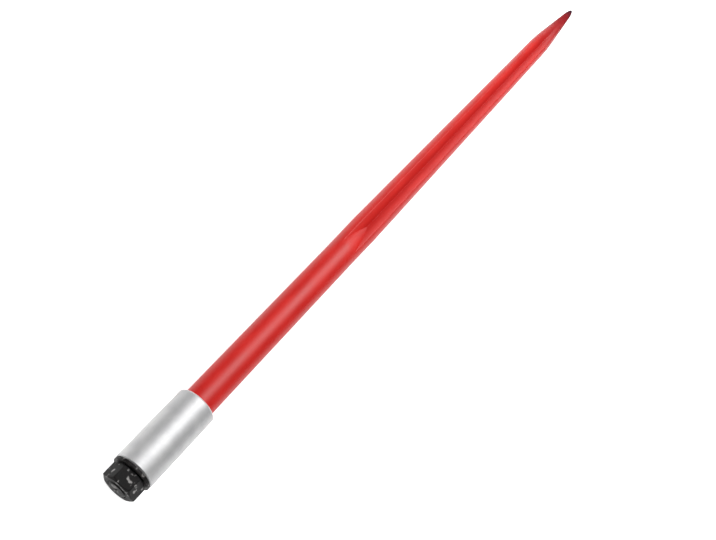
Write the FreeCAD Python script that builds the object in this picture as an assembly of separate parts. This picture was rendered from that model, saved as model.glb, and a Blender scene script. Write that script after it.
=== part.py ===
"""Bale spear: a forged steel tine with its weld-in sleeve, washer and hexagon nut.

Millimetres. +X runs along the spear towards its point, +Z is up, and the origin lies on the
spear's axis at mid-length of the sleeve. The broad, grooved faces of the forged half face up
and down. Each function makes one separate piece, and each piece goes to parts/NAME.step.
"""
import FreeCAD
import Part

import math
import os

Vector = FreeCAD.Vector
ORIGIN = Vector(0, 0, 0)
X_AXIS = Vector(1, 0, 0)

# Whole spear
overall_length = 1244.6      # threaded end to point
shaft_d = 44.45              # round half of the bar

# Sleeve, which is welded into the frame that carries the spear
sleeve_length = 118.0
sleeve_wall = 6.35           # at the mouth, where the bore is the bar's own diameter
sleeve_edge = 2.0            # outer chamfers
sleeve_mouth_edge = 0.6      # chamfers of the bore

# Conical shank that seats in the sleeve, and the threaded end behind it
shank_gap = 0.1              # radial room between the shank and the sleeve's bore
shank_setback = 7.0          # the cone stops this far inside the sleeve's nut end
thread_d = 28.0
thread_passage = 1.5         # radial room around the thread in the sleeve's narrow end
thread_neck_depth = 1.3      # plain neck between the thread and the cone
thread_neck_length = 5.0
thread_projection = 1.0      # thread showing past the nut
thread_end_chamfer = 1.8
centre_mark_d = 5.0          # turning centre in the end face
centre_mark_depth = 2.2

# Nut and washer
nut_flats = 44.0
nut_thickness = 24.0
nut_face_inset = 1.1         # the corners are chamfered to a circle this far inside the flats
nut_chamfer_angle = 30.0
nut_mouth_chamfer = 1.0
nut_gap = 0.1                # radial room between the nut and the thread
nut_turn = 5.0               # tightened to this angle from flat up, towards +Y
washer_od = 56.0
washer_thickness = 4.0
washer_gap = 1.0             # radial room between the washer and the thread
washer_edge = 0.4

# Forged half: each broad face is a groove between two ribs, and the sides stay round
forged_length = 768.0        # from the first trace of the grooves to the point
run_in_length = 52.0         # over which the round bar's crown sinks into the grooves
crown_set_in = 0.15          # the crown's ends lie this far below the bar and the grooves
forged_step = 0.06           # the forged sides start this far proud of the round bar
forged_spread = 0.7          # the metal is pressed out this far past the round bar, each side
taper_narrowing = 5.8        # each side, from the run-in to the shoulder of the point
rib_ratio = 0.05             # radius of a rib over the section's half width
rib_angle = 36.0             # from the broad face's normal to where a rib meets the round side
flank_crest_slope = 18.0     # slopes of the groove's rounded flanks, at the rib and at the root
flank_root_slope = 36.0
root_share = 0.08            # share of a flank's width that the rounded root takes
groove_fade_power = 1.5      # how late the grooves fade out on their way to the nose

# Point: a shoulder, a straight cone and a rounded nose
shoulder_length = 43.0
shoulder_drop = 2.6          # narrowing of each side over the shoulder
cone_half_angle = 5.45
nose_base_half_width = 6.5   # where the cone ends and the nose starts
nose_side_radius = 80.0      # curve of the nose's side, tangent to the cone
nose_radius = 2.6            # ball end

# Sections that the point's loft passes through, and where a full circle is parted to match them
point_steps = 7
circle_root_angle = 3.0
circle_flank_angle = 12.0

# Sizes that follow
shaft_r = shaft_d / 2
sleeve_r = shaft_r + sleeve_wall
sleeve_small_bore_r = thread_d / 2 + thread_passage
taper_start_half_width = shaft_r + forged_spread
taper_end_half_width = taper_start_half_width - taper_narrowing
cone_base_half_width = taper_end_half_width - shoulder_drop

# The nose's side curve has this centre, and reaches this far to touch the ball end
cone_lean = math.radians(cone_half_angle)
nose_curve_z = nose_base_half_width - nose_side_radius * math.cos(cone_lean)
nose_curve_reach = math.sqrt((nose_side_radius - nose_radius) ** 2 - nose_curve_z ** 2)
nose_length = nose_radius + nose_curve_reach - nose_side_radius * math.sin(cone_lean)
cone_length = (cone_base_half_width - nose_base_half_width) / math.tan(cone_lean)
point_length = shoulder_length + cone_length + nose_length

# Places along X, from the sizes above
sleeve_rear_x = -sleeve_length / 2
sleeve_front_x = sleeve_length / 2
washer_rear_x = sleeve_rear_x - washer_thickness
nut_rear_x = washer_rear_x - nut_thickness
thread_end_x = nut_rear_x - thread_projection
tip_x = thread_end_x + overall_length
forged_start_x = tip_x - forged_length
taper_start_x = forged_start_x + run_in_length
point_start_x = tip_x - point_length
nose_base_x = tip_x - nose_length
nose_curve_x = tip_x - nose_radius - nose_curve_reach

# Slopes, as half width gained per length
bore_slope = (shaft_r - sleeve_small_bore_r) / sleeve_length
cone_slope = math.tan(cone_lean)
taper_slope = taper_narrowing / (point_start_x - taper_start_x)


def bore_radius(x):
    """Radius of the sleeve's tapered bore."""
    return shaft_r + bore_slope * (x - sleeve_front_x)


def turned(points):
    """Solid of revolution about X of a closed outline of (x, radius) points."""
    corners = [Vector(x, 0, radius) for x, radius in points]
    outline = Part.makePolygon(corners + corners[:1])
    return Part.Face(outline).revolve(ORIGIN, X_AXIS, 360)


def polar(centre, radius, angle):
    """(y, z) of a point on a circle, at an angle in degrees from +Z towards +Y."""
    turn = math.radians(angle)
    return (centre[0] + radius * math.sin(turn), centre[1] + radius * math.cos(turn))


def circle_quarter(half_width):
    """(y, z) of the points in one quarter of a round section, named as in forged_quarter."""
    angles = {
        "root_bottom": 0,
        "root_end": circle_root_angle,
        "flank_middle": (circle_root_angle + circle_flank_angle) / 2,
        "flank_end": circle_flank_angle,
        "rib_middle": (circle_flank_angle + rib_angle) / 2,
        "rib_end": rib_angle,
    }
    return {name: polar((0, 0), half_width, angle) for name, angle in angles.items()}


def forged_quarter(half_width, relief):
    """(y, z) of the points in one quarter of the section: groove, rib and round side.

    relief is the share of the full forged shape, from just over 0 to 1."""
    crest_slope = flank_crest_slope * relief ** 2
    root_slope = flank_root_slope * relief ** 2
    rib_r = half_width * (1 - relief * (1 - rib_ratio))
    rib = polar((0, 0), half_width - rib_r, rib_angle)
    flank_end = polar(rib, rib_r, -crest_slope)
    # the flank is an arc with the crest's slope at the rib and the root's slope at the middle
    slope_change = math.sin(math.radians(root_slope)) - math.sin(math.radians(crest_slope))
    flank_r = flank_end[0] / slope_change
    flank = polar(flank_end, -flank_r, -crest_slope)

    def on_flank(y):
        return (y, flank[1] + math.sqrt(flank_r ** 2 - (flank[0] - y) ** 2))

    root_end = on_flank(root_share * flank_end[0])
    # the groove's round bottom is tangent to both flanks
    end_slope = math.asin((flank[0] - root_end[0]) / flank_r)
    return {
        "root_bottom": (0, root_end[1] - root_end[0] * math.tan(end_slope / 2)),
        "root_end": root_end,
        "flank_middle": on_flank((root_end[0] + flank_end[0]) / 2),
        "flank_end": flank_end,
        "rib_middle": polar(rib, rib_r, (rib_angle - crest_slope) / 2),
        "rib_end": polar(rib, rib_r, rib_angle),
    }


def section(x, half_width, relief):
    """Closed wire of the bar's section at x, always of the same twelve arcs in order."""
    quarter = forged_quarter(half_width, relief) if relief else circle_quarter(half_width)

    def at(name, side, up):
        return Vector(x, side * quarter[name][0], up * quarter[name][1])

    arcs = []
    for half in (1, -1):
        arcs += [
            Part.Arc(at("root_end", -half, half), at("root_bottom", half, half),
                     at("root_end", half, half)),
            Part.Arc(at("root_end", half, half), at("flank_middle", half, half),
                     at("flank_end", half, half)),
            Part.Arc(at("flank_end", half, half), at("rib_middle", half, half),
                     at("rib_end", half, half)),
            Part.Arc(at("rib_end", half, half), Vector(x, half * half_width, 0),
                     at("rib_end", half, -half)),
            Part.Arc(at("rib_end", half, -half), at("rib_middle", half, -half),
                     at("flank_end", half, -half)),
            Part.Arc(at("flank_end", half, -half), at("flank_middle", half, -half),
                     at("root_end", half, -half)),
        ]
    return Part.Wire([arc.toShape() for arc in arcs])


def forged_taper():
    """The forged section, which widens over the run-in and then tapers to the point."""
    return Part.makeLoft([section(forged_start_x, shaft_r + forged_step, 1),
                          section(taper_start_x, taper_start_half_width, 1),
                          section(point_start_x, taper_end_half_width, 1)], True, True)


def crown():
    """The round bar's crown, which slopes down between the ribs and sinks into the grooves."""
    groove_r = forged_quarter(taper_start_half_width, 1)["root_bottom"][1]
    return Part.makeCone(shaft_r - crown_set_in, groove_r - crown_set_in, run_in_length,
                         Vector(forged_start_x, 0, 0), X_AXIS)


def point_half_width(from_tip):
    """Half width of the point: a straight cone, then a shoulder that meets the taper."""
    from_cone = from_tip - nose_length
    if from_cone <= cone_length:
        return nose_base_half_width + cone_slope * from_cone
    # a cubic through both ends of the shoulder, with the slopes of the cone and the taper
    t = (from_cone - cone_length) / shoulder_length
    start_slope = cone_slope * shoulder_length
    end_slope = taper_slope * shoulder_length
    return (cone_base_half_width + start_slope * (t ** 3 - 2 * t ** 2 + t)
            + shoulder_drop * (3 * t ** 2 - 2 * t ** 3) + end_slope * (t ** 3 - t ** 2))


def point():
    """Shoulder and cone of the point, up to the nose, where the grooves have faded out."""
    sections = []
    for step in range(point_steps + 1):
        share = 1 - step / point_steps
        from_tip = nose_length + (point_length - nose_length) * share
        relief = 1 - (1 - share) ** groove_fade_power
        sections.append(section(tip_x - from_tip, point_half_width(from_tip), relief))
    return Part.makeLoft(sections, True, False)


def nose():
    """Rounded nose: a side curve that is tangent to the cone, and a ball end."""
    ball_x = tip_x - nose_radius
    join_lean = math.asin(nose_curve_reach / (nose_side_radius - nose_radius))

    def on_side(lean):
        return Vector(nose_curve_x + nose_side_radius * math.sin(lean), 0,
                      nose_curve_z + nose_side_radius * math.cos(lean))

    def on_ball(lean):
        return Vector(ball_x + nose_radius * math.sin(lean), 0, nose_radius * math.cos(lean))

    start = Vector(nose_base_x, 0, 0)
    end = Vector(tip_x, 0, 0)
    side = Part.Arc(on_side(cone_lean), on_side((cone_lean + join_lean) / 2), on_side(join_lean))
    ball = Part.Arc(on_ball(join_lean), on_ball((join_lean + math.pi / 2) / 2), end)
    outline = Part.Wire([
        Part.makeLine(start, on_side(cone_lean)),
        side.toShape(),
        ball.toShape(),
        Part.makeLine(end, start),
    ])
    return Part.Face(outline).revolve(ORIGIN, X_AXIS, 360)


def round_bar():
    """Threaded end, conical shank and round half of the bar, turned in one."""
    thread_r = thread_d / 2
    neck_r = thread_r - thread_neck_depth
    cone_start_x = sleeve_rear_x + shank_setback
    cone_end_x = sleeve_front_x + shank_gap / bore_slope
    neck_start_x = cone_start_x - thread_neck_length
    return turned([
        (thread_end_x + centre_mark_depth, 0),
        (thread_end_x, centre_mark_d / 2),
        (thread_end_x, thread_r - thread_end_chamfer),
        (thread_end_x + thread_end_chamfer, thread_r),
        (neck_start_x - thread_neck_depth, thread_r),
        (neck_start_x, neck_r),
        (cone_start_x, neck_r),
        (cone_start_x, bore_radius(cone_start_x) - shank_gap),
        (cone_end_x, shaft_r),
        (forged_start_x, shaft_r),
        (forged_start_x, 0),
    ])


def make_spear():
    """The whole forged bar, in one piece."""
    bar = round_bar().multiFuse([forged_taper(), crown(), point(), nose()])
    return bar.removeSplitter().Solids[0]


def make_sleeve():
    """Weld-in sleeve with a tapered bore."""
    mouth = sleeve_mouth_edge
    return turned([
        (sleeve_rear_x, bore_radius(sleeve_rear_x) + mouth),
        (sleeve_rear_x, sleeve_r - sleeve_edge),
        (sleeve_rear_x + sleeve_edge, sleeve_r),
        (sleeve_front_x - sleeve_edge, sleeve_r),
        (sleeve_front_x, sleeve_r - sleeve_edge),
        (sleeve_front_x, bore_radius(sleeve_front_x) + mouth),
        (sleeve_front_x - mouth, bore_radius(sleeve_front_x - mouth)),
        (sleeve_rear_x + mouth, bore_radius(sleeve_rear_x + mouth)),
    ])


def make_washer():
    """Flat washer between the nut and the sleeve."""
    inner_r = thread_d / 2 + washer_gap
    outer_r = washer_od / 2
    return turned([
        (washer_rear_x, inner_r),
        (washer_rear_x, outer_r - washer_edge),
        (washer_rear_x + washer_edge, outer_r),
        (sleeve_rear_x - washer_edge, outer_r),
        (sleeve_rear_x, outer_r - washer_edge),
        (sleeve_rear_x, inner_r),
    ])


def make_nut():
    """Hexagon nut, chamfered at both faces, with one flat nearly up."""
    corner_r = nut_flats / math.sqrt(3)
    face_r = nut_flats / 2 - nut_face_inset
    chamfer_depth = (corner_r - face_r) * math.tan(math.radians(nut_chamfer_angle))
    corners = []
    for step in range(7):
        turn = math.radians(nut_turn + 90 + 60 * step)
        corners.append(Vector(nut_rear_x, corner_r * math.sin(turn), corner_r * math.cos(turn)))
    prism = Part.Face(Part.makePolygon(corners)).extrude(X_AXIS * nut_thickness)
    bore_r = thread_d / 2 + nut_gap
    mouth = nut_mouth_chamfer
    body = turned([
        (nut_rear_x, bore_r + mouth),
        (nut_rear_x, face_r),
        (nut_rear_x + chamfer_depth, corner_r),
        (washer_rear_x - chamfer_depth, corner_r),
        (washer_rear_x, face_r),
        (washer_rear_x, bore_r + mouth),
        (washer_rear_x - mouth, bore_r),
        (nut_rear_x + mouth, bore_r),
    ])
    return prism.common(body).Solids[0]


PIECES = {
    "spear": make_spear,
    "sleeve": make_sleeve,
    "washer": make_washer,
    "nut": make_nut,
}

os.makedirs("parts", exist_ok=True)
for name, make in PIECES.items():
    solid = make()
    solid.exportStep("parts/" + name + ".step")
    box = solid.BoundBox
    print(name, "valid" if solid.isValid() else "NOT VALID", solid.ShapeType,
          "volume %.0f mm3" % solid.Volume,
          "x %.2f..%.2f y %.2f..%.2f z %.2f..%.2f" % (
              box.XMin, box.XMax, box.YMin, box.YMax, box.ZMin, box.ZMax))
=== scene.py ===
"""Bale spear: fine meshes and finishes for its four pieces, the floor, the light and the camera.

Metres, in the part's own frame: +X runs along the spear towards its point, +Z is up, and the
origin lies on the spear's axis at mid-length of the sleeve. Every piece is a skin of rings round
the X axis, and angles round that axis start at +Z and grow towards +Y.
"""

import math

import bpy
from mathutils import Matrix, Vector, noise


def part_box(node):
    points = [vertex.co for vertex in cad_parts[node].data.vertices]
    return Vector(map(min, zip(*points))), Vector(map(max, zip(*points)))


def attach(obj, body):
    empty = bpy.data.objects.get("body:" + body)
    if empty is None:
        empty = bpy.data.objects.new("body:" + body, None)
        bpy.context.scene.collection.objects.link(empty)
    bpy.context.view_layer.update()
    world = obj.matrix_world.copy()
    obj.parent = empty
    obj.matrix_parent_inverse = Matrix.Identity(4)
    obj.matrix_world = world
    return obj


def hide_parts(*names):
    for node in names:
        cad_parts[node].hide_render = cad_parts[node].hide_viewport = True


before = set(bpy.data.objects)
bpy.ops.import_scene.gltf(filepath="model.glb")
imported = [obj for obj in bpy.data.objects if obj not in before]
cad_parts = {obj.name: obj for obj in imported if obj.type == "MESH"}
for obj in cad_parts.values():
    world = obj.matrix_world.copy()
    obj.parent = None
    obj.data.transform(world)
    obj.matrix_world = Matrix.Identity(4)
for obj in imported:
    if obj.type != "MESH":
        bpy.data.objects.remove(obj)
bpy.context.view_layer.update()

MM = 0.001

# Sizes that the frame gives
sleeve_low, sleeve_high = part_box("sleeve")
washer_low, washer_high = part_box("washer")
nut_low, nut_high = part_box("nut")
spear_low, spear_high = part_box("spear")
sleeve_r = sleeve_high.z
washer_r = washer_high.z
thread_end_x = spear_low.x
tip_x = spear_high.x

# Sizes of the round half
shaft_r = 22.225 * MM
thread_r = 14.0 * MM
thread_pitch = 1.5 * MM
thread_depth = 0.8 * MM
thread_flank = 2.5           # slope of the groove's sides, in depths per pitch
thread_end_chamfer = 1.8 * MM
centre_mark_r = 2.5 * MM
centre_mark_depth = 2.2 * MM
centre_mark_tip_r = 0.1 * MM
thread_cut_length = 6 * MM   # how far the grooves are cut; the nut hides the rest
coat_overlap = 6 * MM        # how far the red bar reaches into the sleeve

# Sizes of the sleeve, washer and nut
sleeve_edge = 2.0 * MM
sleeve_mouth_edge = 0.6 * MM
shank_gap = 0.1 * MM         # radial room at the sleeve's mouth
thread_passage = 1.5 * MM    # radial room round the thread at the sleeve's nut end
washer_edge = 0.4 * MM
washer_bore_r = 15.0 * MM
nut_half_flats = 22 * MM
nut_corner_r = nut_half_flats / math.cos(math.pi / 6)
nut_turn = math.radians(5)   # from flat up, towards +Y
nut_bore_r = 14.1 * MM
nut_face_inset = 1.1 * MM
nut_mouth_chamfer = 1.0 * MM
nut_chamfer_angle = math.radians(30)
soft_edge = 0.6 * MM         # rounding of the nut's edges

# Sizes of the forged half
forged_length = 768 * MM
run_in_length = 52 * MM
crown_set_in = 0.15 * MM
crown_power = 1.2            # how late the crown sinks
forged_spread = 0.7 * MM     # how much wider than the bar it becomes, on each side
taper_narrowing = 5.8 * MM
rib_ratio = 0.05             # radius of a rib's crest, as a share of the half width
rib_angle = math.radians(36)
flank_crest_slope = math.radians(18)
flank_root_slope = math.radians(36)
root_angle = math.radians(0.5)  # half the angle that the groove's round bottom takes
groove_fade_power = 1.5

# Sizes of the point
shoulder_length = 43 * MM
shoulder_drop = 2.6 * MM
cone_slope = math.tan(math.radians(5.45))
nose_base_half_width = 6.5 * MM
nose_side_radius = 80 * MM
nose_radius = 2.6 * MM

# Unevenness that the hammer leaves
forge_wave = 45 * MM         # length of a wave
forge_height = 0.16 * MM     # on the forged half
bar_height = 0.03 * MM       # on the round half

# Fineness of the meshes
fine_step = 0.15 * MM        # over the thread and the nut's chamfers
bar_step = 6 * MM
run_in_step = 0.8 * MM
taper_step = 5 * MM
point_step = 2 * MM
nose_step = 1 * MM
sleeve_step = 4 * MM
nut_step = 3 * MM
ball_rings = 8
sleeve_columns = 160
washer_columns = 144
nut_columns = 240
sharp_angle = math.radians(28)  # edges sharper than this aren't shaded smooth

# Columns in a quarter of the spear: over the crown to the valley, up the groove's flank, over
# the rib and on to the side. Counts are just under a whole number, so that rounding adds none.
crown_columns = 7.99
flank_columns = 9.99
rib_from, rib_to, side_at = 31, 38, 90             # degrees
rib_column_step, side_column_step = 0.5, 2.5       # degrees

# Search for the valley, in radians
valley_low, valley_high = math.radians(1.5), math.radians(30)
valley_halvings = 20

# Places that follow
cone_lean = math.atan(cone_slope)
nose_curve_z = nose_base_half_width - nose_side_radius * math.cos(cone_lean)
nose_curve_reach = math.sqrt((nose_side_radius - nose_radius) ** 2 - nose_curve_z ** 2)
nose_curve_x = tip_x - nose_radius - nose_curve_reach
nose_base_x = nose_curve_x + nose_side_radius * math.sin(cone_lean)
ball_lean = math.asin(nose_curve_reach / (nose_side_radius - nose_radius))
ball_base_x = nose_curve_x + nose_side_radius * math.sin(ball_lean)
taper_start_half_width = shaft_r + forged_spread
taper_end_half_width = taper_start_half_width - taper_narrowing
cone_base_half_width = taper_end_half_width - shoulder_drop
cone_base_x = nose_base_x - (cone_base_half_width - nose_base_half_width) / cone_slope
point_start_x = cone_base_x - shoulder_length
forged_start_x = tip_x - forged_length
taper_start_x = forged_start_x + run_in_length
taper_slope = taper_narrowing / (point_start_x - taper_start_x)


# ---------------------------------------------------------------- shapes

def spread(start, end, step):
    """Places from start to end, evenly and at most a step apart, without the end."""
    count = max(1, math.ceil(abs(end - start) / step))
    return [start + (end - start) * i / count for i in range(count)]


def smooth_share(share):
    """0 to 1 with level ends."""
    share = min(1, max(0, share))
    return share * share * (3 - 2 * share)


def soft_max(a, b, width):
    """The larger of two values, rounded where they differ by less than the width."""
    return max(a, b) + max(0, width - abs(a - b)) ** 2 / (4 * width)


def circle_radius(angle, centre_y, centre_z, radius):
    """Distance from the axis to the far side of a circle, at an angle."""
    offset = math.hypot(centre_y, centre_z)
    turn = angle - math.atan2(centre_y, centre_z)
    return offset * math.cos(turn) + math.sqrt(radius ** 2 - (offset * math.sin(turn)) ** 2)


def forged_radius(angle, half_width, relief):
    """Distance from the axis to the forged section, from the broad face (0) to the side (90)."""
    if angle >= rib_angle or relief <= 0:
        return half_width
    crest_slope = flank_crest_slope * relief ** 2
    root_slope = flank_root_slope * relief ** 2
    rib_r = half_width * (1 - relief * (1 - rib_ratio))
    rib_y = (half_width - rib_r) * math.sin(rib_angle)
    rib_z = (half_width - rib_r) * math.cos(rib_angle)
    flank_y = rib_y - rib_r * math.sin(crest_slope)
    flank_z = rib_z + rib_r * math.cos(crest_slope)
    if angle > math.atan2(flank_y, flank_z):
        return circle_radius(angle, rib_y, rib_z, rib_r)
    flank_r = flank_y / (math.sin(root_slope) - math.sin(crest_slope))
    centre_y = flank_y + flank_r * math.sin(crest_slope)
    centre_z = flank_z - flank_r * math.cos(crest_slope)
    return circle_radius(math.hypot(angle, root_angle * relief), centre_y, centre_z, flank_r)


def half_width(x):
    """Half the spear's width, over the forged half and the point."""
    if x >= ball_base_x:
        return math.sqrt(max(0, nose_radius ** 2 - (x - tip_x + nose_radius) ** 2))
    if x >= nose_base_x:
        return nose_curve_z + math.sqrt(nose_side_radius ** 2 - (x - nose_curve_x) ** 2)
    if x >= cone_base_x:
        return nose_base_half_width + cone_slope * (nose_base_x - x)
    if x >= point_start_x:
        # a cubic between the cone and the taper, with the slopes of both
        t = (cone_base_x - x) / shoulder_length
        return (cone_base_half_width + cone_slope * shoulder_length * (t ** 3 - 2 * t ** 2 + t)
                + shoulder_drop * (3 * t ** 2 - 2 * t ** 3)
                + taper_slope * shoulder_length * (t ** 3 - t ** 2))
    if x >= taper_start_x:
        return taper_end_half_width + taper_slope * (point_start_x - x)
    return shaft_r + forged_spread * max(0, (x - forged_start_x) / run_in_length)


def relief_at(x):
    """Share of the full forged section at x."""
    if x < point_start_x:
        return 1 if x > forged_start_x else 0
    share = max(0, (nose_base_x - x) / (nose_base_x - point_start_x))
    return 1 - (1 - share) ** groove_fade_power


sunk_r = forged_radius(0, taper_start_half_width, 1)


def crown_radius(x):
    """Distance from the axis to the round bar's crown, which sinks into the grooves."""
    share = max(0, (x - forged_start_x) / run_in_length)
    start_r = shaft_r - crown_set_in
    return start_r - (start_r - sunk_r) * share ** crown_power


def valley_at(x):
    """Angle at which the crown meets the groove's flank."""
    low, high = valley_low, valley_high
    if x <= forged_start_x:
        return high
    target = crown_radius(x)
    for _ in range(valley_halvings):
        middle = (low + high) / 2
        if forged_radius(middle, half_width(x), 1) < target:
            low = middle
        else:
            high = middle
    return low


def spear_radius(x, angle):
    """Distance from the axis to the spear's surface, ahead of the shank."""
    if x <= forged_start_x:
        smooth, height = shaft_r, bar_height
    else:
        # the four quarters are alike, so the angle is folded into the first
        folded = math.acos(min(1, abs(math.cos(angle))))
        smooth = forged_radius(folded, half_width(x), relief_at(x))
        share = (x - forged_start_x) / run_in_length
        if share < 1:
            smooth = max(smooth, crown_radius(x))
        height = bar_height + (forge_height - bar_height) * smooth_share(share)
    height *= min(1, half_width(x) / shaft_r)
    place = Vector((x, smooth * math.sin(angle), smooth * math.cos(angle)))
    # noise from -1 to 1 takes off from nothing to the whole height
    return smooth - height * (0.5 + 0.5 * noise.noise(place / forge_wave))


def thread_radius(x, angle):
    """Distance from the axis to the thread, which runs out at the bar's end."""
    turn = (x / thread_pitch - angle / (2 * math.pi)) % 1
    groove = thread_depth * min(1, thread_flank / 2 - thread_flank * abs(turn - 0.5))
    chamfer = thread_r - thread_end_chamfer + (x - thread_end_x)
    return min(thread_r - max(0, groove), chamfer)


def nut_radius(x, angle):
    """Distance from the axis to the nut's side: flats, cut by the chamfers of both faces."""
    turn = (angle - nut_turn + math.pi / 6) % (math.pi / 3) - math.pi / 6
    flat = nut_half_flats / math.cos(turn)
    inset = min(x - nut_low.x, nut_high.x - x)
    chamfer = nut_half_flats - nut_face_inset + inset / math.tan(nut_chamfer_angle)
    return -soft_max(-min(flat, nut_corner_r), -chamfer, soft_edge)


def turns(count):
    """Even angles once round."""
    return spread(0, 2 * math.pi, 2 * math.pi / count)


def rib_turns(x):
    """Angles once round at x, with one of them where the crown meets the groove's flank.

    They are closer together at the four ribs."""
    valley = math.degrees(valley_at(x))
    places = (spread(0, valley, valley / crown_columns)
              + spread(valley, rib_from, (rib_from - valley) / flank_columns)
              + spread(rib_from, rib_to, rib_column_step)
              + spread(rib_to, side_at, side_column_step))
    quarter = [math.radians(degrees) for degrees in places]
    angles = []
    for start in range(4):
        bend = [math.pi / 2 - angle for angle in reversed(quarter[1:] + [math.pi / 2])]
        angles += [start * math.pi / 2 + angle for angle in (bend if start % 2 else quarter)]
    return angles


def ring(x, radius, angles):
    """Points round the axis at x; the radius is a number or a function of the angle."""
    points = []
    for angle in angles:
        r = radius(angle) if callable(radius) else radius
        points.append((x, r * math.sin(angle), r * math.cos(angle)))
    return points


def skin(name, rings, closed=False):
    """An object whose faces join each ring to the next, and the last to the first if closed."""
    count = len(rings[0])
    pairs = [(i, i + 1) for i in range(len(rings) - 1)]
    if closed:
        pairs.append((len(rings) - 1, 0))
    faces = []
    for a, b in pairs:
        for j in range(count):
            k = (j + 1) % count
            faces.append((a * count + j, b * count + j, b * count + k, a * count + k))
    if not closed:
        faces.append(tuple(range(count)))
        faces.append(tuple(reversed(range((len(rings) - 1) * count, len(rings) * count))))
    mesh = bpy.data.meshes.new(name)
    mesh.from_pydata([point for points in rings for point in points], [], faces)
    mesh.update()
    obj = bpy.data.objects.new(name, mesh)
    bpy.context.scene.collection.objects.link(obj)
    mesh.shade_smooth()
    mesh.set_sharp_from_angle(angle=sharp_angle)
    return obj


def make_spear():
    """The forged bar: centre mark, end of the thread, round half, forged half and point.

    The rest of the thread and the conical shank don't show, so a plain core stands for them."""
    angles = rib_turns(thread_end_x)
    rings = [ring(thread_end_x + centre_mark_depth, centre_mark_tip_r, angles),
             ring(thread_end_x, centre_mark_r, angles)]
    thread_stop_x = thread_end_x + thread_cut_length
    for x in spread(thread_end_x, thread_stop_x, fine_step):
        rings.append(ring(x, lambda angle: thread_radius(x, angle), angles))
    rings.append(ring(thread_stop_x, thread_r - thread_depth, angles))
    coat_start_x = sleeve_high.x - coat_overlap
    rings.append(ring(coat_start_x, thread_r - thread_depth, angles))
    places = (spread(coat_start_x, forged_start_x, bar_step)
              + spread(forged_start_x, taper_start_x, run_in_step)
              + spread(taper_start_x, point_start_x, taper_step)
              + spread(point_start_x, nose_base_x, point_step)
              + spread(nose_base_x, ball_base_x, nose_step))
    for x in places:
        angles = rib_turns(x)
        rings.append(ring(x, lambda angle: spear_radius(x, angle), angles))
    for step in range(ball_rings):
        lean = ball_lean + (math.pi / 2 - ball_lean) * step / ball_rings
        x = tip_x - nose_radius + nose_radius * math.sin(lean)
        rings.append(ring(x, nose_radius * math.cos(lean), angles))
    return skin("spear_bar", rings)


def make_sleeve():
    """The sleeve: a cylinder with chamfered ends and a conical bore."""
    angles = turns(sleeve_columns)
    inner = shaft_r + shank_gap
    rear_inner = thread_r + thread_passage
    edge = sleeve_edge
    straight = spread(sleeve_low.x + edge, sleeve_high.x - edge, sleeve_step)
    outline = [(sleeve_low.x, rear_inner), (sleeve_low.x, sleeve_r - edge)]
    outline += [(x, sleeve_r) for x in straight]
    outline += [(sleeve_high.x - edge, sleeve_r), (sleeve_high.x, sleeve_r - edge),
                (sleeve_high.x, inner + sleeve_mouth_edge),
                (sleeve_high.x - sleeve_mouth_edge, inner)]
    return skin("sleeve_tube", [ring(x, r, angles) for x, r in outline], closed=True)


def make_washer():
    """The flat washer, with chamfered rims."""
    angles = turns(washer_columns)
    outline = [(washer_low.x, washer_bore_r), (washer_low.x, washer_r - washer_edge),
               (washer_low.x + washer_edge, washer_r), (washer_high.x - washer_edge, washer_r),
               (washer_high.x, washer_r - washer_edge), (washer_high.x, washer_bore_r)]
    return skin("washer_disc", [ring(x, r, angles) for x, r in outline], closed=True)


def make_nut():
    """The hexagon nut, with chamfered corners and mouths."""
    angles = turns(nut_columns)
    mouth = nut_mouth_chamfer
    face_r = nut_half_flats - nut_face_inset
    coat_with_painted_shade = (nut_corner_r - face_r) * math.tan(nut_chamfer_angle)
    places = (spread(nut_low.x, nut_low.x + coat_with_painted_shade, fine_step)
              + spread(nut_low.x + coat_with_painted_shade, nut_high.x - coat_with_painted_shade, nut_step)
              + spread(nut_high.x - coat_with_painted_shade, nut_high.x, fine_step) + [nut_high.x])
    rings = [ring(nut_low.x + mouth, nut_bore_r, angles),
             ring(nut_low.x, nut_bore_r + mouth, angles)]
    rings += [ring(x, lambda angle: nut_radius(x, angle), angles) for x in places]
    rings += [ring(nut_high.x, nut_bore_r + mouth, angles),
              ring(nut_high.x - mouth, nut_bore_r, angles)]
    return skin("hex_nut", rings, closed=True)


# ---------------------------------------------------------------- materials

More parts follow.
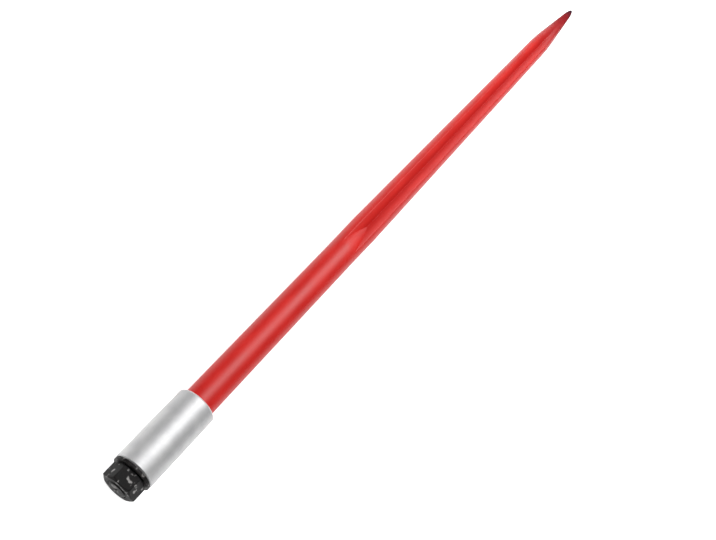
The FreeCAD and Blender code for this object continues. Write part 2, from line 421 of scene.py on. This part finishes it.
class Nodes:
    """Short way to add and join the nodes of one material."""

    def __init__(self, name):
        self.material = bpy.data.materials.new(name)
        self.material.use_nodes = True
        self.tree = self.material.node_tree
        self.tree.nodes.clear()
        self.shader = self.add("ShaderNodeBsdfPrincipled")
        output = self.add("ShaderNodeOutputMaterial")
        self.join(self.shader.outputs["BSDF"], output.inputs["Surface"])

    def add(self, kind, **values):
        """A new node, with its attributes set."""
        node = self.tree.nodes.new(kind)
        for key, value in values.items():
            setattr(node, key, value)
        return node

    def join(self, source, target):
        """Links a source to a target socket."""
        self.tree.links.new(source, target)

    def feed(self, **sources):
        """Joins sources to the shader's sockets, named with _ for a space."""
        for name, source in sources.items():
            self.join(source, self.shader.inputs[name.replace("_", " ")])

    def place(self):
        """Position in the part's frame, in metres."""
        return self.add("ShaderNodeTexCoord").outputs["Object"]

    def coordinate(self, axis):
        """One coordinate of the position."""
        split = self.add("ShaderNodeSeparateXYZ")
        self.join(self.place(), split.inputs[0])
        return split.outputs[axis]

    def noise(self, vector, scale, detail=2.0, roughness=0.5):
        """Noise from 0 to 1; scale is in features per metre."""
        node = self.add("ShaderNodeTexNoise")
        node.inputs["Scale"].default_value = scale
        node.inputs["Detail"].default_value = detail
        node.inputs["Roughness"].default_value = roughness
        self.join(vector, node.inputs["Vector"])
        return node.outputs["Fac"]

    def stretched(self, vector, scale):
        """The vector with each coordinate multiplied."""
        node = self.add("ShaderNodeVectorMath", operation="MULTIPLY")
        node.inputs[1].default_value = scale
        self.join(vector, node.inputs[0])
        return node.outputs["Vector"]

    def ranged(self, value, from_low, from_high, to_low, to_high, smooth=False):
        """The value carried from one range to another, and held at its ends."""
        node = self.add("ShaderNodeMapRange")
        if smooth:
            node.interpolation_type = "SMOOTHSTEP"
        for name, number in (("From Min", from_low), ("From Max", from_high),
                             ("To Min", to_low), ("To Max", to_high)):
            node.inputs[name].default_value = number
        self.join(value, node.inputs["Value"])
        return node.outputs["Result"]

    def combined(self, operation, a, b):
        """Two values joined by an operation of the Math node."""
        node = self.add("ShaderNodeMath", operation=operation)
        self.join(a, node.inputs[0])
        self.join(b, node.inputs[1])
        return node.outputs[0]

    def mixed(self, share, low, high):
        """A colour between two, each a colour or a socket."""
        node = self.add("ShaderNodeMix", data_type="RGBA")
        self.join(share, node.inputs["Factor"])
        # 6 and 7 are the node's colours A and B, and output 2 its mixed colour
        for socket, colour in ((node.inputs[6], low), (node.inputs[7], high)):
            if isinstance(colour, tuple):
                socket.default_value = (*colour, 1)
            else:
                self.join(colour, socket)
        return node.outputs[2]

    def bump(self, height, distance, below=None):
        """Normal of a surface whose height socket, 0 to 1, spans the distance in metres."""
        node = self.add("ShaderNodeBump")
        node.inputs["Distance"].default_value = distance
        self.join(height, node.inputs["Height"])
        if below is not None:
            self.join(below, node.inputs["Normal"])
        return node.outputs["Normal"]


def red_coat():
    """Red powder coat over forged steel, darker towards the point, with painted shade in its
    grooves.
    """
    # where each change begins and is complete, along the spear
    dull_from, dull_to = tip_x - 0.170, tip_x - 0.015
    dark_from, dark_to = tip_x - 0.030, tip_x - 0.008
    rough_from, rough_to = tip_x - 0.110, tip_x - 0.030
    matt_from, matt_to = tip_x - 0.120, tip_x - 0.035
    groove_shade_from, groove_shade_to = forged_start_x + 0.010, taper_start_x
    groove_shade_fade_from, groove_shade_fade_to = point_start_x, point_start_x + 0.050
    # the same for the painted shade, from the groove's middle outwards
    groove_shade_core, groove_shade_rim = 0.001, 0.008

    m = Nodes("red_coat")
    place = m.place()
    broad = m.noise(m.stretched(place, (0.35, 1, 1)), 60, detail=3)
    fresh = m.mixed(m.ranged(broad, 0.35, 0.65, 0, 1),
                    (0.435, 0.006, 0.003), (0.495, 0.009, 0.005))
    # the place along the spear, pushed about by noise so that no tone ends in a straight line
    uneven = m.combined("ADD", m.coordinate("X"),
                        m.ranged(m.noise(place, 90), 0.3, 0.7, -0.006, 0.006))
    dull = m.mixed(m.ranged(uneven, dull_from, dull_to, 0, 1),
                   fresh, (0.14, 0.007, 0.011))
    dark = m.mixed(m.ranged(uneven, dark_from, dark_to, 0, 1, smooth=True),
                   dull, (0.030, 0.006, 0.014))
    # painted shade: a deeper red along the grooves, from their run-in to the point, that darkens
    # them beyond what the light gives
    aside = m.add("ShaderNodeMath", operation="ABSOLUTE")
    m.join(m.coordinate("Y"), aside.inputs[0])
    painted_groove_shade = m.combined("MULTIPLY",
                        m.ranged(aside.outputs[0], groove_shade_core, groove_shade_rim, 1, 0, smooth=True),
                        m.ranged(uneven, groove_shade_from, groove_shade_to, 0, 1, smooth=True))
    painted_groove_shade = m.combined("MULTIPLY", painted_groove_shade,
                        m.ranged(uneven, groove_shade_fade_from, groove_shade_fade_to, 1, 0, smooth=True))
    coat_with_painted_shade = m.mixed(m.combined("MULTIPLY", painted_groove_shade, m.ranged(broad, 0.3, 0.7, 0.5, 0.8)),
                   dark, (0.34, 0.002, 0.001))
    rough = m.combined("MAXIMUM", m.ranged(broad, 0.3, 0.7, 0.44, 0.51),
                       m.ranged(uneven, rough_from, rough_to, 0.40, 0.70, smooth=True))
    gloss = m.ranged(uneven, matt_from, matt_to, 0.35, 0.08, smooth=True)
    speckle = m.noise(place, 1400, detail=1)
    peel = m.noise(place, 420, detail=2)
    normal = m.bump(speckle, 0.000012, below=m.bump(peel, 0.00006))
    m.feed(Base_Color=coat_with_painted_shade, Roughness=rough, Specular_IOR_Level=gloss, Normal=normal)
    return m.material


def bare_steel():
    """Turned steel of the sleeve, left bare for welding."""
    m = Nodes("bare_steel")
    place = m.place()
    m.shader.inputs["Metallic"].default_value = 0.60
    rings = m.noise(m.stretched(place, (1, 0.02, 0.02)), 2500, detail=3)
    patches = m.noise(place, 55, detail=3)
    colour = m.mixed(m.ranged(patches, 0.35, 0.65, 0, 1), (0.45, 0.45, 0.455), (0.51, 0.51, 0.51))
    rough = m.ranged(rings, 0.3, 0.7, 0.49, 0.59)
    m.feed(Base_Color=colour, Roughness=rough, Normal=m.bump(rings, 0.00002))
    return m.material


def black_oxide():
    """Black oxide of the nut, the washer and the thread, rubbed thin on edges, with lighter grey
    spots that are partly wear and partly painted highlights.
    """
    m = Nodes("black_oxide")
    place = m.place()
    patches = m.noise(place, 130, detail=4)
    black = m.mixed(m.ranged(patches, 0.35, 0.65, 0, 1),
                    (0.003, 0.003, 0.003), (0.008, 0.007, 0.007))
    edge = m.add("ShaderNodeNewGeometry").outputs["Pointiness"]
    worn = m.combined("MULTIPLY", m.ranged(edge, 0.56, 0.64, 0, 1),
                      m.ranged(patches, 0.4, 0.6, 0.2, 1))
    # lighter grey spots: partly oxide rubbed thin, partly painted highlights
    wear_and_glint_spots = m.noise(place, 165, detail=2)
    wear_and_painted_glints = m.combined("MAXIMUM", worn, m.ranged(wear_and_glint_spots, 0.60, 0.70, 0, 1))
    # lighter grey where rubbed: wear on the edges, and in the spots partly wear, partly painted
    # highlight
    colour = m.mixed(wear_and_painted_glints, black, (0.16, 0.15, 0.145))
    rough = m.ranged(patches, 0.3, 0.7, 0.35, 0.5)
    gloss = m.ranged(wear_and_painted_glints, 0, 1, 0.06, 0.5)
    m.feed(Base_Color=colour, Roughness=rough, Specular_IOR_Level=gloss,
           Normal=m.bump(m.noise(place, 900), 0.00003))
    return m.material


def floor_material():
    """Matt white table that glows a little, more so towards -Y and -X: the glow is painted light,
    which lights the spear from below and lifts the shadows on the floor.
    """
    m = Nodes("studio_floor")
    tone = m.noise(m.place(), 3, detail=1)
    # painted light: the floor glows more towards -Y, lighting the spear's side from there, and
    # towards -X, where it lifts the shadow by the nut
    painted_glow = m.combined("MAXIMUM", m.ranged(m.coordinate("Y"), -0.12, 0.0, 0.75, 0.5, smooth=True),
                      m.ranged(m.coordinate("X"), -0.10, 0.10, 0.92, 0.5, smooth=True))
    m.shader.inputs["Roughness"].default_value = 0.9
    m.shader.inputs["Specular IOR Level"].default_value = 0.2
    m.shader.inputs["Emission Color"].default_value = (1, 1, 1, 1)
    m.feed(Base_Color=m.mixed(tone, (0.90, 0.90, 0.90), (0.915, 0.915, 0.915)),
           Emission_Strength=painted_glow)
    return m.material


# ---------------------------------------------------------------- the pieces

def set_in(piece, node, slot, *materials):
    """Puts a piece in a CAD node's place, with its finishes."""
    for material in materials:
        piece.data.materials.append(material)
    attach(piece, "root")
    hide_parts(node)


black = black_oxide()
spear = make_spear()
set_in(spear, "spear", "red_coat", red_coat(), black)
for face in spear.data.polygons:
    # the faces of the thread and of its core have their centres behind mid-sleeve
    if face.center.x < 0:
        face.material_index = 1
set_in(make_sleeve(), "sleeve", "bare_steel", bare_steel())
set_in(make_washer(), "washer", "black_oxide", black)
set_in(make_nut(), "nut", "black_oxide", black)

# Floor, just below the sleeve
floor_half = 40.0
floor_z = -sleeve_r - 0.5 * MM
corners = ((-floor_half, -floor_half), (floor_half, -floor_half),
           (floor_half, floor_half), (-floor_half, floor_half))
mesh = bpy.data.meshes.new("floor")
mesh.from_pydata([(x, y, floor_z) for x, y in corners], [], [(0, 1, 2, 3)])
floor = bpy.data.objects.new("floor", mesh)
bpy.context.scene.collection.objects.link(floor)
mesh.materials.append(floor_material())


# ---------------------------------------------------------------- light and camera

# The camera and the lamps are placed as if above the spear, and then turned round it
# together by this much, from +Z towards +Y
studio_turn = Matrix.Rotation(math.radians(-5), 4, "X")


def aimed(obj, place, aim, roll=0.0):
    """Puts an object at a place, with its -Z towards the aim and its top turned by the roll.

    All of that is then turned round the spear by the studio's turn."""
    turn = (Vector(aim) - Vector(place)).to_track_quat("-Z", "Y")
    obj.matrix_world = (studio_turn @ Matrix.Translation(place) @ turn.to_matrix().to_4x4()
                        @ Matrix.Rotation(roll, 4, "Z"))


def softbox(name, place, aim, size, power):
    """A rectangular soft light: size in metres, power in watts."""
    light = bpy.data.lights.new(name, "AREA")
    light.shape = "RECTANGLE"
    light.size, light.size_y = size
    light.energy = power
    lamp = bpy.data.objects.new(name, light)
    bpy.context.scene.collection.objects.link(lamp)
    aimed(lamp, place, aim)


# A large lamp above, leaning towards the point, aimed at about mid-length of the spear
middle = Vector((0.5, 0, 0))
key_reach = 2.6
key_lean = Vector((0.40, -0.06, 0.915))
softbox("key", middle + key_lean * key_reach, middle, size=(1.7, 2.1), power=108)

# A weak one beyond the point, aimed at the forged half
far_place = Vector((2.6, 0.72, 1.35))
far_aim = Vector((0.85, 0, 0))
softbox("far_lamp", far_place, far_aim, size=(0.5, 1.4), power=11)

# Even surrounding light
surround_strength = 0.16
world = bpy.data.worlds.new("studio")
bpy.context.scene.world = world
world.use_nodes = True
background = world.node_tree.nodes["Background"]
background.inputs["Color"].default_value = (1, 1, 1, 1)
background.inputs["Strength"].default_value = surround_strength

# Camera, above and behind the nut, rolled so that the spear runs up to the right
camera_place = Vector((-0.3745, 0, 1.1483))
camera_aim = Vector((0.3806, -0.0352, 0))
camera_roll = math.radians(45.78)
camera_data = bpy.data.cameras.new("camera")
camera_data.lens = 46.72
camera = bpy.data.objects.new("camera", camera_data)
bpy.context.scene.collection.objects.link(camera)
aimed(camera, camera_place, camera_aim, camera_roll)
bpy.context.scene.camera = camera
bpy.context.scene.view_settings.view_transform = "Standard"
